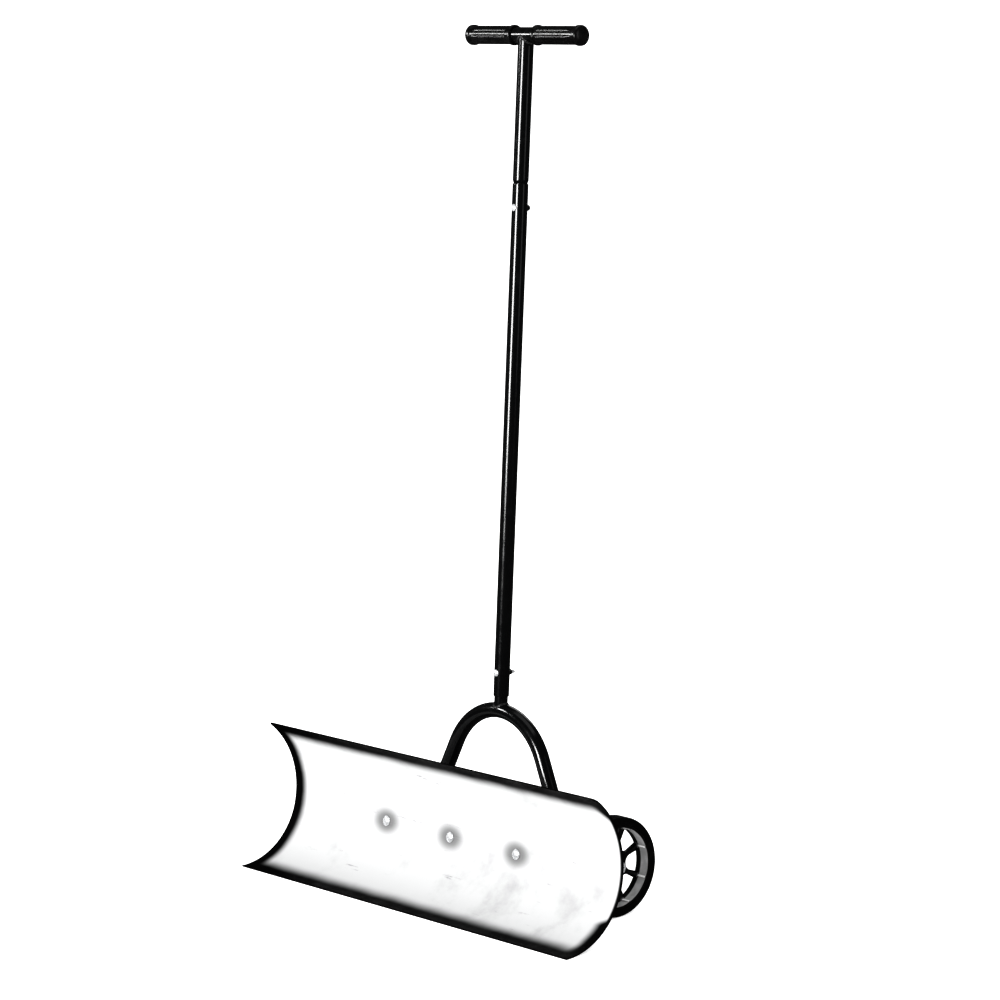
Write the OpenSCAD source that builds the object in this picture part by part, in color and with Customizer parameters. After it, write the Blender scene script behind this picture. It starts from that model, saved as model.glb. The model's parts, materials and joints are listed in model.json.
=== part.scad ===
// Wheeled snow pusher: a curved steel blade on two spoked wheels, with a bolted T-bar push pole.
// X runs along the blade, Y runs back from the lip, Z is up. The origin is on the ground,
// in the middle of the whole tool's length and depth.

/* [Blade] */
// Length of the blade
blade_len = 755.65; // [500:0.05:1000]
// Thickness of the blade's sheet
blade_t = 2; // [1.5:0.5:3]
// Depth of the flat lip that lies on the ground
lip_flat = 6; // [4:1:10]
// Middle radius of the lower part of the curve
lower_r = 112; // [108:1:116]
// Middle radius of the upper part of the curve
upper_r = 132; // [128:1:134]
// Angle from the lip at which the two radii meet
blend_angle = 75; // [70:1:76]
// Angle from the lip at which the blade's top edge lies
top_angle = 140.7; // [125:0.1:150]
// Radius of the blade's two top corners
corner_r = 9; // [2:1:15]

/* [Blade bolts] */
// Distance between neighbouring bolts
bolt_pitch = 150; // [120:1:150]
// Angle from the lip at which the bolts sit
bolt_angle = 77; // [76.5:0.1:80]
// Diameter of the bolts' shanks
bolt_d = 6; // [5:1:6]
// Diameter of the bolts' domed heads
bolt_head_d = 16; // [14:0.5:17]

/* [Wheels] */
// Diameter of a wheel over its tyre
wheel_d = 150; // [148:1:151]
// Width of a wheel's tyre
wheel_w = 28; // [24:1:32]
// Distance from the middle of the tool to the middle of a wheel
wheel_x = 274; // [265:1:290]
// Distance of the axle behind the blade's lip
axle_y = 194; // [194:1:200]
// Number of spokes in a wheel
spokes = 8; // [6:2:10]
// Width of a spoke
spoke_w = 7.5; // [7:0.5:10]
// Angle by which the wheels are turned from an upright opening
spoke_turn = -4; // [-20:1:20]
// Diameter of the axle rod
axle_d = 12; // [10:1:12]
// Diameter of the cross beam round the axle
beam_d = 38; // [36:1:40]

/* [Pole] */
// Height of the whole tool
overall_h = 1295.4; // [1100:0.1:1400]
// Angle at which the pole leans back
lean = 6.7; // [5:0.1:8]
// Distance of the pole's lower end behind the lip
pole_y = 231; // [228:1:234]
// Height of the pole's lower end
pole_z = 286; // [280:1:292]
// Diameter of the two pole tubes and the T-bar
tube_d = 24; // [24:0.5:25]
// Wall of the pole tubes
tube_wall = 1.25; // [1:0.05:1.3]
// Length of the lower pole tube
lower_tube_len = 779; // [700:1:800]
// Diameter of the necks inside the pole tubes
neck_d = 20.8; // [20.5:0.1:20.9]
// Length of a neck inside its pole tube
neck_len = 72; // [50:1:90]
// Distance of a joint bolt from the end of its pole tube
joint_inset = 36; // [25:1:40]

/* [Yoke] */
// Diameter of the yoke's tube
yoke_d = 23.5; // [22:0.5:24]
// Radius of the arch at the middle of its tube
arch_r = 109; // [105:1:115]
// Half of the angle through which the arch bends
arch_angle = 64; // [60:1:70]
// Distance of the arch's middle line below the pole's lower end
arch_drop = 22.5; // [22:0.5:26]

/* [T-bar and grips] */
// Length of the T-bar over both grips
bar_len = 252; // [230:1:280]
// Diameter of a grip's body
grip_d = 28; // [28:0.5:29]
// Diameter of a grip's collars
collar_d = 31; // [30:0.5:33]
// Distance from the pole's middle to a grip
grip_x = 23; // [20:1:26]
// Number of flutes round a grip
flutes = 12; // [8:1:14]

/* [Hidden] */
$fn = 72;

// Blade curve: centres of the two arcs, measured from the lip and the ground.
lower_cy = lip_flat;
lower_cz = blade_t / 2 + lower_r;
upper_cy = lower_cy - (upper_r - lower_r) * sin(blend_angle);
upper_cz = lower_cz + (upper_r - lower_r) * cos(blend_angle);
sheet_in = upper_r - blade_t / 2;
sheet_out = upper_r + blade_t / 2;

// A flat underside of this radius clears the hollow face by head_lift.
bolt_head_h = 3.6;
head_lift = 0.3;
bolt_hole_r = bolt_d / 2 + 0.3;
washer_t = 1.2;
nut_af = 10;
nut_h = 5;
bolt_tail = 3;

// Brackets between the blade's back and the cross beam.
pad_w = 40;
pad_h = 44;
plate_t = 4;
web_foot = 14;
weld_r = 3;

// Wheels and axle.
axle_z = wheel_d / 2;
tyre_in_r = wheel_d / 2 - 12;
tyre_round = 4;
barrel_in_r = tyre_in_r - 3.5;
barrel_w = wheel_w - 1;
web_t = 6;
web_recess = 6.6;
window_in_r = 29.5;
hub_r = 15;
hub_inboard = 16;
hub_outboard = 7;
bush_r = 9;
bush_flange_r = 12;
bush_flange_t = 1.5;
running = 0.05;
washer_r = 12;
axle_washer_t = 2;
side_play = 0.5;
cap_r = 11;
cap_base = 5.5;
cap_dome = 3;
beam_wall = 1.5;
beam_cap_t = 3;
hub_in_x = wheel_x - hub_inboard;
hub_out_x = wheel_x + hub_outboard;
beam_half = hub_in_x - side_play - axle_washer_t;
outer_washer_x = hub_out_x + bush_flange_t + side_play;
cap_x = outer_washer_x + axle_washer_t;
axle_half = cap_x + cap_base;

// Pole: lengths along its own axis, measured up from its lower end.
tube_r = tube_d / 2;
tube_in_r = tube_r - tube_wall;
neck_r = neck_d / 2;
yoke_r = yoke_d / 2;
neck_wall = 1.5;
bar_up = (overall_h - collar_d / 2 - pole_z) / cos(lean);
shoulder_h = 5;
pin_r = 2.5;
pin_hole_r = 2.65;
pin_head_r = 5.25;
pin_head_h = 2.6;
pin_washer_r = 5;
pin_washer_t = 1;
pin_nut_af = 8;
pin_nut_h = 4.6;
lower_pin_end = 24.5;
upper_pin_end = 20;

// Place of the beam in the frame of at_blade_bolt.
beam_down = -(axle_y - upper_cy) * cos(bolt_angle) - (axle_z - upper_cz) * sin(bolt_angle);
beam_out = (axle_y - upper_cy) * sin(bolt_angle) - (axle_z - upper_cz) * cos(bolt_angle);

// Yoke: the beam's height in the pole's own frame.
beam_up = (axle_y - pole_y) * sin(lean) + (axle_z - pole_z) * cos(lean);
leg_top_x = arch_r * sin(arch_angle);
leg_top_up = -arch_drop - arch_r * (1 - cos(arch_angle));
leg_cut_up = beam_up + 5;
leg_len = (leg_top_up - leg_cut_up) / sin(arch_angle);
leg_over = 20;

// Grips.
grip_end = bar_len / 2;
bar_half = grip_end - 8;
collar_w = 6;
dome_h = 5;
flute_r = 2.4;
flute_depth = 0.9;
flute_margin = 3;

// Depth of the whole tool, from the lip to the back of the grips.
tool_depth = pole_y + bar_up * sin(lean) + collar_d / 2;

far = 500;

// ---------- frames ----------

// From the lip's own frame to the tool's frame.
module from_lip() {
    translate([0, -tool_depth / 2, 0]) children();
}

// Local +Z points out of the blade's back at an angle, and starts at the upper curve's centre.
// Local +Y points down the sheet.
module on_upper_curve(x, angle) {
    from_lip() translate([x, upper_cy, upper_cz]) rotate([angle + 180, 0, 0]) children();
}

module at_blade_bolt(x) {
    on_upper_curve(x, bolt_angle) children();
}

module at_blade_bolts() {
    for (i = [-1 : 1]) at_blade_bolt(i * bolt_pitch) children();
}

// Local +Z runs up the pole from its lower end, local +Y points back.
module on_pole() {
    from_lip() translate([0, pole_y, pole_z]) rotate([-lean, 0, 0]) children();
}

// Local +Z runs along +X, on the axle's line.
module on_axle() {
    from_lip() translate([0, axle_y, axle_z]) rotate([0, 90, 0]) children();
}

// Local +Z points from the tool's middle out through the wheel on that side.
module on_wheel(side) {
    on_axle() mirror([0, 0, side < 0 ? 1 : 0]) children();
}

module both_sides() {
    for (side = [-1, 1]) on_wheel(side) children();
}

// Local +Z runs along the joint bolt at that height, from its head towards its nut.
module at_joint(up) {
    on_pole() translate([0, 0, up]) rotate([-90, 0, 0]) children();
}

// ---------- shared shapes ----------

// A pie slice between two angles, measured from straight down towards +X.
module slice(from, to) {
    middle = (from + to) / 2;
    polygon([[0, 0],
             [far * sin(from), -far * cos(from)],
             [far * sin(middle), -far * cos(middle)],
             [far * sin(to), -far * cos(to)]]);
}

// A curved strip of the blade's thickness between two angles.
module curved_strip(r, from, to) {
    intersection() {
        difference() {
            circle(r = r + blade_t / 2, $fn = 180);
            circle(r = r - blade_t / 2, $fn = 180);
        }
        slice(from, to);
    }
}

module hollow_tube(r, wall, len) {
    difference() {
        cylinder(r = r, h = len);
        translate([0, 0, -1]) cylinder(r = r - wall, h = len + 2);
    }
}

module ring(r_out, r_in, h) {
    difference() {
        cylinder(r = r_out, h = h);
        translate([0, 0, -1]) cylinder(r = r_in, h = h + 2);
    }
}

// A low dome that stands on z = 0 and points along +Z.
module dome(r, h) {
    ball = (r * r + h * h) / (2 * h);
    rotate_extrude() intersection() {
        translate([0, h - ball]) circle(r = ball, $fn = 128);
        square([r, h]);
    }
}

module hex_nut(af, bore_r, h) {
    difference() {
        cylinder(r = af / 2 / cos(30), h = h, $fn = 6);
        translate([0, 0, -1]) cylinder(r = bore_r, h = h + 2);
    }
}

// A square with rounded corners, centred on the origin.
module round_rect(w, h, r) {
    square([w - 2 * r, h], center = true);
    square([w, h - 2 * r], center = true);
    for (x = [-1, 1], y = [-1, 1])
        translate([x * (w / 2 - r), y * (h / 2 - r)]) circle(r = r);
}

// ---------- blade and its bolts ----------

module blade_profile() {
    square([lip_flat, blade_t]);
    translate([lower_cy, lower_cz]) curved_strip(lower_r, 0, blend_angle);
    translate([upper_cy, upper_cz]) curved_strip(upper_r, blend_angle, top_angle);
}

// What is cut away to round one of the blade's top corners.
module corner_cut(side) {
    on_upper_curve(side * (blade_len / 2 - corner_r), top_angle)
        translate([0, corner_r, sheet_in - 5]) linear_extrude(blade_t + 10) difference() {
            translate([side < 0 ? -2 * corner_r : 0, -2 * corner_r]) square(2 * corner_r);
            circle(r = corner_r);
        }
}

module blade() {
    color("gainsboro") difference() {
        from_lip() translate([-blade_len / 2, 0, 0]) rotate([90, 0, 90])
            linear_extrude(blade_len) blade_profile();
        for (side = [-1, 1]) corner_cut(side);
        at_blade_bolts() translate([0, 0, sheet_in - 5]) cylinder(r = bolt_hole_r, h = 15);
    }
}

module blade_bolts() {
    shank = head_lift + blade_t + plate_t + washer_t + nut_h + bolt_tail;
    color("silver") at_blade_bolts() translate([0, 0, sheet_in - head_lift]) {
        mirror([0, 0, 1]) dome(bolt_head_d / 2, bolt_head_h);
        cylinder(r = bolt_d / 2, h = shank);
    }
}

module blade_washers() {
    color("silver") at_blade_bolts() translate([0, 0, sheet_out + plate_t])
        ring(bolt_d * 1.1, bolt_hole_r, washer_t);
}

module blade_nuts() {
    color("silver") at_blade_bolts() translate([0, 0, sheet_out + plate_t + washer_t])
        hex_nut(nut_af, bolt_d / 2, nut_h);
}

// ---------- brackets ----------

module web_outline() {
    polygon([[-pad_h / 2, sheet_out],
             [pad_h / 2, sheet_out],
             [beam_down + web_foot, beam_out],
             [beam_down - web_foot, beam_out]]);
}

// A slab of the web's outline, w wide, with its middle at x.
module web_slab(x, w) {
    translate([x - w / 2, 0, 0]) rotate([90, 0, 90]) linear_extrude(w) web_outline();
}

// Webs lie on the outer edge of a side bracket, and on both edges of the centre one.
function web_places(side) =
    let (edge = (pad_w - plate_t) / 2) side == 0 ? [-edge, edge] : [side * edge];

module beam_bar(r) {
    on_axle() translate([0, 0, -beam_half]) cylinder(r = r, h = 2 * beam_half);
}

module bracket(side) {
    color("dimgray") difference() {
        at_blade_bolt(side * bolt_pitch) {
            translate([-pad_w / 2, -pad_h / 2, sheet_out]) cube([pad_w, pad_h, plate_t]);
            for (x = web_places(side)) web_slab(x, plate_t);
        }
        at_blade_bolt(side * bolt_pitch) cylinder(r = bolt_hole_r, h = 2 * upper_r);
        beam_bar(beam_d / 2);
    }
}

module bracket_left() { bracket(-1); }
module bracket_centre() { bracket(0); }
module bracket_right() { bracket(1); }

// Beads on both faces of every web, where it meets the beam.
module bracket_welds() {
    color("gray") difference() {
        intersection() {
            for (side = [-1 : 1]) at_blade_bolt(side * bolt_pitch)
                for (x = web_places(side)) web_slab(x, plate_t + 2 * weld_r);
            beam_bar(beam_d / 2 + weld_r);
        }
        for (side = [-1 : 1]) at_blade_bolt(side * bolt_pitch)
            for (x = web_places(side)) web_slab(x, plate_t);
        beam_bar(beam_d / 2);
    }
}

// ---------- cross beam and axle ----------

module cross_beam() {
    tube_half = beam_half - beam_cap_t;
    color("dimgray") on_axle() translate([0, 0, -tube_half])
        hollow_tube(beam_d / 2, beam_wall, 2 * tube_half);
}

module beam_caps() {
    color("dimgray") both_sides() translate([0, 0, beam_half - beam_cap_t])
        ring(beam_d / 2, axle_d / 2, beam_cap_t);
}

module axle_rod() {
    color("silver") on_axle() translate([0, 0, -axle_half]) cylinder(r = axle_d / 2, h = 2 * axle_half);
}

module axle_washers() {
    color("silver") both_sides() for (x = [beam_half, outer_washer_x])
        translate([0, 0, x]) ring(washer_r, axle_d / 2, axle_washer_t);
}

// Push-on caps that hold the wheels on.
module axle_caps() {
    color("silver") both_sides() translate([0, 0, cap_x]) {
        ring(cap_r, axle_d / 2, cap_base);
        translate([0, 0, cap_base]) dome(cap_r, cap_dome);
    }
}

// ---------- wheels ----------

// One opening between two spokes: parallel to both, round towards the hub, open to the barrel.
module spoke_window() {
    half = 180 / spokes;
    centre = (window_in_r - spoke_w / 2) / (1 - sin(half));
    round_r = centre * sin(half) - spoke_w / 2;
    reach = barrel_in_r * 1.2;
    touch = [centre * pow(cos(half), 2) + spoke_w / 2 * sin(half),
             centre * sin(half) * cos(half) - spoke_w / 2 * cos(half)];
    edge = (reach * sin(half) - spoke_w / 2) / cos(half);
    translate([centre, 0]) circle(r = round_r);
    polygon([[touch.x, -touch.y],
             [reach, -edge],
             [reach, edge],
             [touch.x, touch.y]]);
}

module spoke_star() {
    difference() {
        circle(r = barrel_in_r, $fn = 120);
        for (i = [0 : spokes - 1]) rotate(90 + spoke_turn + i * 360 / spokes) spoke_window();
    }
}

// A shallow rib along the barrel at the end of every spoke.
module barrel_ribs() {
    rib_w = 3;
    rib_h = 1.5;
    linear_extrude(barrel_w - 2, center = true) intersection() {
        for (i = [0 : spokes - 1]) rotate(90 + spoke_turn + (i + 0.5) * 360 / spokes)
            translate([barrel_in_r - rib_h, -rib_w / 2]) square([2 * rib_h, rib_w]);
        circle(r = barrel_in_r, $fn = 120);
    }
}

// The moulded wheel is two nodes: its barrel, and its hub with the spokes.
module rim(side) {
    color("#3a3a3a") on_wheel(side) translate([0, 0, wheel_x - barrel_w / 2])
        ring(tyre_in_r, barrel_in_r, barrel_w);
}

module rim_left() { rim(-1); }
module rim_right() { rim(1); }

module hub_and_spokes(side) {
    color("#2e2e2e") on_wheel(side) translate([0, 0, wheel_x]) {
        difference() {
            union() {
                translate([0, 0, -web_recess - web_t / 2]) linear_extrude(web_t) spoke_star();
                translate([0, 0, -hub_inboard]) cylinder(r = hub_r, h = hub_inboard + hub_outboard);
            }
            translate([0, 0, -far / 2]) cylinder(r = bush_r, h = far);
        }
        barrel_ribs();
    }
}

module spokes_left() { hub_and_spokes(-1); }
module spokes_right() { hub_and_spokes(1); }

module tyre(side) {
    depth = wheel_d / 2 - tyre_in_r;
    color("#1c1c1c") on_wheel(side) translate([0, 0, wheel_x]) rotate_extrude($fn = 144) {
        difference() {
            translate([tyre_in_r, 0]) round_rect(2 * depth, wheel_w, tyre_round);
            translate([0, -wheel_w]) square([tyre_in_r, 2 * wheel_w]);
        }
    }
}

module tyre_left() { tyre(-1); }
module tyre_right() { tyre(1); }

// Flanged bush that turns on the axle.
module bush(side) {
    color("gray") on_wheel(side) difference() {
        union() {
            translate([0, 0, hub_in_x]) cylinder(r = bush_r, h = hub_out_x - hub_in_x);
            translate([0, 0, hub_out_x]) cylinder(r = bush_flange_r, h = bush_flange_t);
        }
        cylinder(r = axle_d / 2 + running, h = 2 * far);
    }
}

module bush_left() { bush(-1); }
module bush_right() { bush(1); }

// ---------- yoke ----------

// Local frame of the arch's bend: its ring lies round local +Z.
module at_bend() {
    on_pole() translate([0, 0, -arch_drop - arch_r]) rotate([90, 0, 0]) children();
}

// Local +Z runs down one leg from the end of the bend.
module on_leg(side) {
    on_pole() translate([side * leg_top_x, 0, leg_top_up])
        rotate([0, side * (90 + arch_angle), 0]) children();
}

module whole_ring(r) {
    at_bend() rotate_extrude($fn = 144) translate([arch_r, 0]) circle(r = r);
}

// The yoke is one bent tube, built as its bend and its two straight legs, face to face.
module yoke_bend() {
    color("#202020") at_bend() rotate([0, 0, 90 - arch_angle])
        rotate_extrude(angle = 2 * arch_angle, $fn = 144) translate([arch_r, 0]) difference() {
            circle(r = yoke_r);
            circle(r = yoke_r - neck_wall);
        }
}

module below_cut() {
    on_pole() translate([-far, -far, leg_cut_up - 2 * far]) cube(2 * far);
}

module yoke_leg(side) {
    color("#202020") difference() {
        on_leg(side) hollow_tube(yoke_r, neck_wall, leg_len + leg_over);
        below_cut();
        beam_bar(beam_d / 2);
    }
}

module yoke_leg_left() { yoke_leg(-1); }
module yoke_leg_right() { yoke_leg(1); }

module yoke_stub() {
    color("#202020") difference() {
        on_pole() difference() {
            translate([0, 0, -arch_drop]) hollow_tube(neck_r, neck_wall, arch_drop + neck_len);
            joint_hole(joint_inset);
        }
        whole_ring(yoke_r);
    }
}

// Bead round the stub's foot.
module stub_weld() {
    difference() {
        intersection() {
            on_pole() translate([0, 0, -arch_drop]) cylinder(r = neck_r + weld_r, h = arch_drop);
            whole_ring(yoke_r + weld_r);
        }
        whole_ring(yoke_r);
        on_pole() translate([0, 0, -2 * arch_drop]) cylinder(r = neck_r, h = 3 * arch_drop);
    }
}

// Bead round one leg's foot.
module leg_weld(side) {
    difference() {
        intersection() {
            on_leg(side) cylinder(r = yoke_r + weld_r, h = leg_len + leg_over);
            beam_bar(beam_d / 2 + weld_r);
        }
        on_leg(side) cylinder(r = yoke_r, h = leg_len + leg_over + 1);
        below_cut();
        beam_bar(beam_d / 2);
    }
}

module yoke_welds() {
    color("#303030") {
        stub_weld();
        leg_weld(-1);
        leg_weld(1);
    }
}

// ---------- pole ----------

module joint_hole(up) {
    translate([0, 0, up]) rotate([90, 0, 0]) cylinder(r = pin_hole_r, h = 3 * tube_d, center = true);
}

module lower_tube() {
    color("#181818") on_pole() difference() {
        hollow_tube(tube_r, tube_wall, lower_tube_len);
        joint_hole(joint_inset);
        joint_hole(lower_tube_len - joint_inset);
    }
}

// The upper tube is drawn in to a neck that slips inside the lower tube.
module upper_tube() {
    shoulder = lower_tube_len + shoulder_h;
    bottom = lower_tube_len - neck_len;
    color("#181818") on_pole() difference() {
        rotate_extrude() polygon([
            [tube_in_r, bar_up],
            [tube_r, bar_up],
            [tube_r, shoulder],
            [neck_r, lower_tube_len],
            [neck_r, bottom],
            [neck_r - neck_wall, bottom],
            [neck_r - neck_wall, lower_tube_len],
            [tube_in_r, shoulder]]);
        joint_hole(lower_tube_len - joint_inset);
        translate([0, 0, bar_up]) rotate([0, 90, 0]) cylinder(r = tube_r, h = bar_len, center = true);
    }
}

// ---------- T-bar and grips ----------

module on_bar(side) {
    on_pole() translate([0, 0, bar_up]) rotate([0, 90, 0]) mirror([0, 0, side < 0 ? 1 : 0]) children();
}

module t_bar() {
    color("#181818") on_bar(1) translate([0, 0, -bar_half]) hollow_tube(tube_r, tube_wall, 2 * bar_half);
}

module t_bar_weld() {
    color("#303030") on_pole() difference() {
        intersection() {
            translate([0, 0, bar_up - 2 * tube_r]) cylinder(r = tube_r + weld_r, h = 2 * tube_r);
            translate([0, 0, bar_up]) rotate([0, 90, 0])
                cylinder(r = tube_r + weld_r, h = 2 * bar_len, center = true);
        }
        translate([0, 0, bar_up - 3 * tube_r]) cylinder(r = tube_r, h = 3 * tube_r);
        translate([0, 0, bar_up]) rotate([0, 90, 0])
            cylinder(r = tube_r, h = 2 * bar_len, center = true);
    }
}

module grip(side) {
    body_in = grip_x + collar_w;
    body_out = grip_end - dome_h - collar_w;
    flute_len = body_out - body_in - 2 * flute_margin;
    color("#101010") on_bar(side) difference() {
        union() {
            translate([0, 0, grip_x]) rotate_extrude()
                intersection() {
                    translate([0, collar_w / 2]) round_rect(collar_d, collar_w, 1.5);
                    square([collar_d, collar_w]);
                }
            translate([0, 0, body_in - 1]) cylinder(r = grip_d / 2, h = body_out - body_in + 2);
            translate([0, 0, body_out]) cylinder(r = collar_d / 2, h = collar_w);
            translate([0, 0, body_out + collar_w]) dome(collar_d / 2, dome_h);
        }
        translate([0, 0, grip_x - 1]) cylinder(r = tube_r, h = bar_half - grip_x + 1);
        for (i = [0 : flutes - 1]) rotate(i * 360 / flutes)
            translate([grip_d / 2 - flute_depth + flute_r, 0, body_in + flute_margin])
                cylinder(r = flute_r, h = flute_len, $fn = 24);
    }
}

module grip_left() { grip(-1); }
module grip_right() { grip(1); }

// ---------- joint bolts ----------

module joint_bolt(up, end) {
    color("silver") at_joint(up) {
        translate([0, 0, -tube_r]) mirror([0, 0, 1]) dome(pin_head_r, pin_head_h);
        translate([0, 0, -tube_r]) cylinder(r = pin_r, h = tube_r + end);
    }
}

module joint_bolt_lower() { joint_bolt(joint_inset, lower_pin_end); }
module joint_bolt_upper() { joint_bolt(lower_tube_len - joint_inset, upper_pin_end); }

module at_joints() {
    for (up = [joint_inset, lower_tube_len - joint_inset]) at_joint(up) children();
}

module joint_washers() {
    color("#262626") at_joints() translate([0, 0, tube_r]) ring(pin_washer_r, pin_r, pin_washer_t);
}

module joint_nuts() {
    color("#262626") at_joints() translate([0, 0, tube_r + pin_washer_t])
        hex_nut(pin_nut_af, pin_r, pin_nut_h);
}

// ---------- nodes ----------

blade();
blade_bolts();
blade_washers();
blade_nuts();
bracket_left();
bracket_centre();
bracket_right();
bracket_welds();
cross_beam();
beam_caps();
axle_rod();
axle_washers();
axle_caps();
rim_left();
rim_right();
spokes_left();
spokes_right();
tyre_left();
tyre_right();
bush_left();
bush_right();
yoke_bend();
yoke_leg_left();
yoke_leg_right();
yoke_stub();
yoke_welds();
lower_tube();
upper_tube();
t_bar();
t_bar_weld();
grip_left();
grip_right();
joint_bolt_lower();
joint_bolt_upper();
joint_washers();
joint_nuts();
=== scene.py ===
"""Looks of the wheeled snow pusher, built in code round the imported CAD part."""

import itertools
import json
import math

import bmesh
import bpy
from mathutils import Matrix, Vector

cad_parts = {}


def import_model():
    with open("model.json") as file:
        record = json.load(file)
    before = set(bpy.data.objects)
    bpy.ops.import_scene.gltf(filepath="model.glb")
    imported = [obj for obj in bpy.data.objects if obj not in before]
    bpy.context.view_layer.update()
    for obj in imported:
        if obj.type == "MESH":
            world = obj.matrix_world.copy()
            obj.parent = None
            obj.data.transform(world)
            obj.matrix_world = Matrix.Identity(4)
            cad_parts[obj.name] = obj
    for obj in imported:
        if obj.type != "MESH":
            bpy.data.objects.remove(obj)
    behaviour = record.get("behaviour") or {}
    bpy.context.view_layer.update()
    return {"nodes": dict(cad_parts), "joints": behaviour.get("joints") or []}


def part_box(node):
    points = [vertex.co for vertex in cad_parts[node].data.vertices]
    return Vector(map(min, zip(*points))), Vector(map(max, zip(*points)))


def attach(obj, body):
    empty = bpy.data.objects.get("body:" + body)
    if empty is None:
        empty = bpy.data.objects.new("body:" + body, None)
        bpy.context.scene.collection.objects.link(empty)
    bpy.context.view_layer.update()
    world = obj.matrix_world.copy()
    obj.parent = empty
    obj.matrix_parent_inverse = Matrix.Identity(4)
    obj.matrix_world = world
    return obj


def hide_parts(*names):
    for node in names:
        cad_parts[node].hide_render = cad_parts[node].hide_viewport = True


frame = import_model()

# ---------- sizes, in metres and radians, the same as in the CAD part ----------

TURN = 2 * math.pi
SIDES = ((-1, "left"), (1, "right"))

# How far a piece reaches into the one that it stands on.
TUCK = 0.0002

SHEET_T = 0.002
LIP_FLAT = 0.006
LOWER_R = 0.112
UPPER_R = 0.132
BLEND_ANGLE = math.radians(75)
TOP_ANGLE = math.radians(140.7)
BLEND_UP = LIP_FLAT + LOWER_R * BLEND_ANGLE
SHEET_LEN = BLEND_UP + UPPER_R * (TOP_ANGLE - BLEND_ANGLE)
SHEET_BACK = UPPER_R + SHEET_T / 2
SHEET_ROUND = 0.0007
EDGE_STEPS = [0.0, 0.15 * SHEET_ROUND, 0.45 * SHEET_ROUND]
CORNER_R = 0.009

BOLT_ANGLE = math.radians(77)
BOLT_PITCH = 0.15
BOLT_HEAD_R = 0.008
BOLT_HEAD_H = 0.0036
BOLT_LIFT = 0.0003
BOLT_R = 0.003
WASHER_R = 0.0066
WASHER_HOLE_R = 0.0033
WASHER_T = 0.0012
NUT_AF = 0.010
NUT_H = 0.005
BOLT_TAIL = 0.003

PAD_W = 0.040
PAD_H = 0.044
PAD_CORNER_R = 0.004
PLATE_T = 0.004
WEB_FOOT = 0.014

BEAM_R = 0.019
BEAM_WALL = 0.0015
WEB_CUT_R = BEAM_R - 0.0003
BEAM_CAP_T = 0.003
AXLE_R = 0.006

TYRE_R = 0.075
TYRE_IN_R = 0.063
TYRE_HALF = 0.014
BARREL_IN_R = 0.0595
BARREL_HALF = 0.0135
SPOKES = 8
SPOKE_W = 0.0075
WEB_T = 0.006
WEB_RECESS = 0.0066
WEB_FACES = (-WEB_RECESS - WEB_T / 2, -WEB_RECESS + WEB_T / 2)
WINDOW_IN_R = 0.0295
SPOKE_FLARE = 0.003
HUB_R = 0.015
HUB_INBOARD = 0.016
HUB_OUTBOARD = 0.007
SPOKE_TURN = math.radians(-4)
BUSH_R = 0.009
BUSH_BORE_R = 0.00605
FLANGE_R = 0.012
FLANGE_T = 0.0015
AXLE_WASHER_R = 0.012
AXLE_WASHER_T = 0.002
CAP_R = 0.011

LEAN = math.radians(6.7)
TUBE_R = 0.012
TUBE_WALL = 0.00125
LOWER_LEN = 0.779
NECK_R = 0.0104
NECK_WALL = 0.0015
NECK_LEN = 0.072
SHOULDER_H = 0.005
BAR_UP = 1.000734
JOINT_INSET = 0.036

ARCH_R = 0.109
ARCH_ANGLE = math.radians(64)
ARCH_DROP = 0.0225
YOKE_R = 0.01175
FOOT_CUT = 0.005

GRIP_IN = 0.023
GRIP_OUT = 0.126
COLLAR_R = 0.0155
COLLAR_W = 0.006
GRIP_R = 0.014
DOME_H = 0.005
BODY_IN = GRIP_IN + COLLAR_W
BODY_OUT = GRIP_OUT - DOME_H - COLLAR_W
FLUTES = 12
FLUTE_R = 0.0024
FLUTE_DEPTH = 0.0009

SADDLE_BEAD_R = 0.0024
FOOT_BEAD_R = 0.0026
FOOT_BEAD_GAP = 1.24
WEB_BEAD_R = 0.0020
PAD_BEAD_R = 0.0017

PIN_R = 0.0025
PIN_HEAD_R = 0.00525
PIN_HEAD_H = 0.0026
PIN_WASHER_R = 0.005
PIN_WASHER_T = 0.001
PIN_NUT_AF = 0.008
PIN_NUT_H = 0.0046
LOWER_PIN_END = 0.0245
UPPER_PIN_END = 0.020

# ---------- frames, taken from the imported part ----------


def box_middle(node):
    low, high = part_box(node)
    return (low + high) / 2


LIP_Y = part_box("blade")[0].y
BLADE_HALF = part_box("blade")[1].x
LOWER_CENTRE = Vector((0, LIP_Y + LIP_FLAT, SHEET_T / 2 + LOWER_R))
UPPER_CENTRE = LOWER_CENTRE - (UPPER_R - LOWER_R) * Vector(
    (0, math.sin(BLEND_ANGLE), -math.cos(BLEND_ANGLE))
)
BEAM_MIDDLE = box_middle("cross_beam")
BEAM_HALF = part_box("beam_caps")[1].x
WHEEL_X = box_middle("tyre_right").x
BAR_MIDDLE = box_middle("t_bar")
BAR_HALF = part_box("t_bar")[1].x

# Local +Z runs up the pole from its lower end, local +Y points back.
POLE = (
    Matrix.Translation(BAR_MIDDLE)
    @ Matrix.Rotation(-LEAN, 4, "X")
    @ Matrix.Translation((0, 0, -BAR_UP))
)
BEAM_IN_POLE = POLE.inverted() @ BEAM_MIDDLE


def along_x(middle, side=1):
    """Frame at a point with local +Z along +X, or along -X where side is -1."""
    return Matrix.Translation(middle) @ Matrix.Rotation(side * math.pi / 2, 4, "Y")


def lifted(base, up):
    """A frame moved along its own local +Z."""
    return base @ Matrix.Translation((0, 0, up))


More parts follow.
